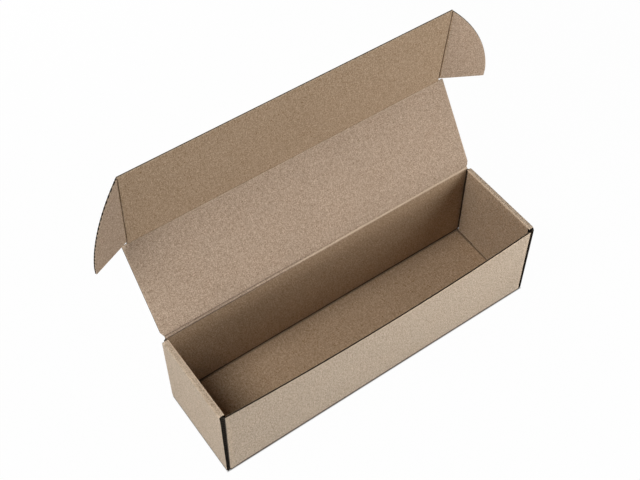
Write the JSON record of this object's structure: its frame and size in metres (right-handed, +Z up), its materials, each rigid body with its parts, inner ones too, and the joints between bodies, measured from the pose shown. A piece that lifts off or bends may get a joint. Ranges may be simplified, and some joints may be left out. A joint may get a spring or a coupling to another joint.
{
  "type": "bottle gift box",
  "caption": "Long square-section corrugated kraft mailer for a single bottle: locked tray with rolled end walls, hinged lid with tuck flap and rounded corner ears, stored open",
  "frame": {"origin": "middle of the tray's underside, on the surface it stands on", "axes": "+X along the length of the box to the right-hand end, -Y out through the low front wall, +Y towards the lid hinge, +Z up"},
  "size_m": [0.3876, 0.1436, 0.2524],
  "materials": {
    "kraft_board": "uncoated brown kraft liner over micro-flute medium, matt, fine fibre speckle"
  },
  "bodies": {
    "tray": {"tray": "kraft_board"},
    "lid": {"lid": "kraft_board"},
    "tuck_flap": {"tuck_flap": "kraft_board"},
    "left_ear": {"left_ear": "kraft_board"},
    "right_ear": {"right_ear": "kraft_board"}
  },
  "joints": [
    {"name": "lid_hinge", "type": "hinge", "parent": "tray", "child": "lid", "pos_m": [0, 0.04475, 0.09185], "axis": [-1, 0, 0], "range_deg": [-120.7, 56.3]},
    {"name": "tuck_hinge", "type": "hinge", "parent": "lid", "child": "tuck_flap", "pos_m": [0, 0.09335, 0.16473], "axis": [-1, 0, 0], "range_deg": [-55, 21]},
    {"name": "left_ear_hinge", "type": "hinge", "parent": "tuck_flap", "child": "left_ear", "pos_m": [-0.1585, 0.09335, 0.16473], "axis": [0, -0.0924, 0.9957], "range_deg": [-25.25, 66.05]},
    {"name": "right_ear_hinge", "type": "hinge", "parent": "tuck_flap", "child": "right_ear", "pos_m": [0.1585, 0.09335, 0.16473], "axis": [0, 0.0924, -0.9957], "range_deg": [-22.2, 58.05]}
  ],
  "couplings": [
    {"joint": "left_ear_hinge", "follows": "tuck_hinge", "ratio": -1.2},
    {"joint": "right_ear_hinge", "follows": "tuck_hinge", "ratio": -1.0545}
  ]
}
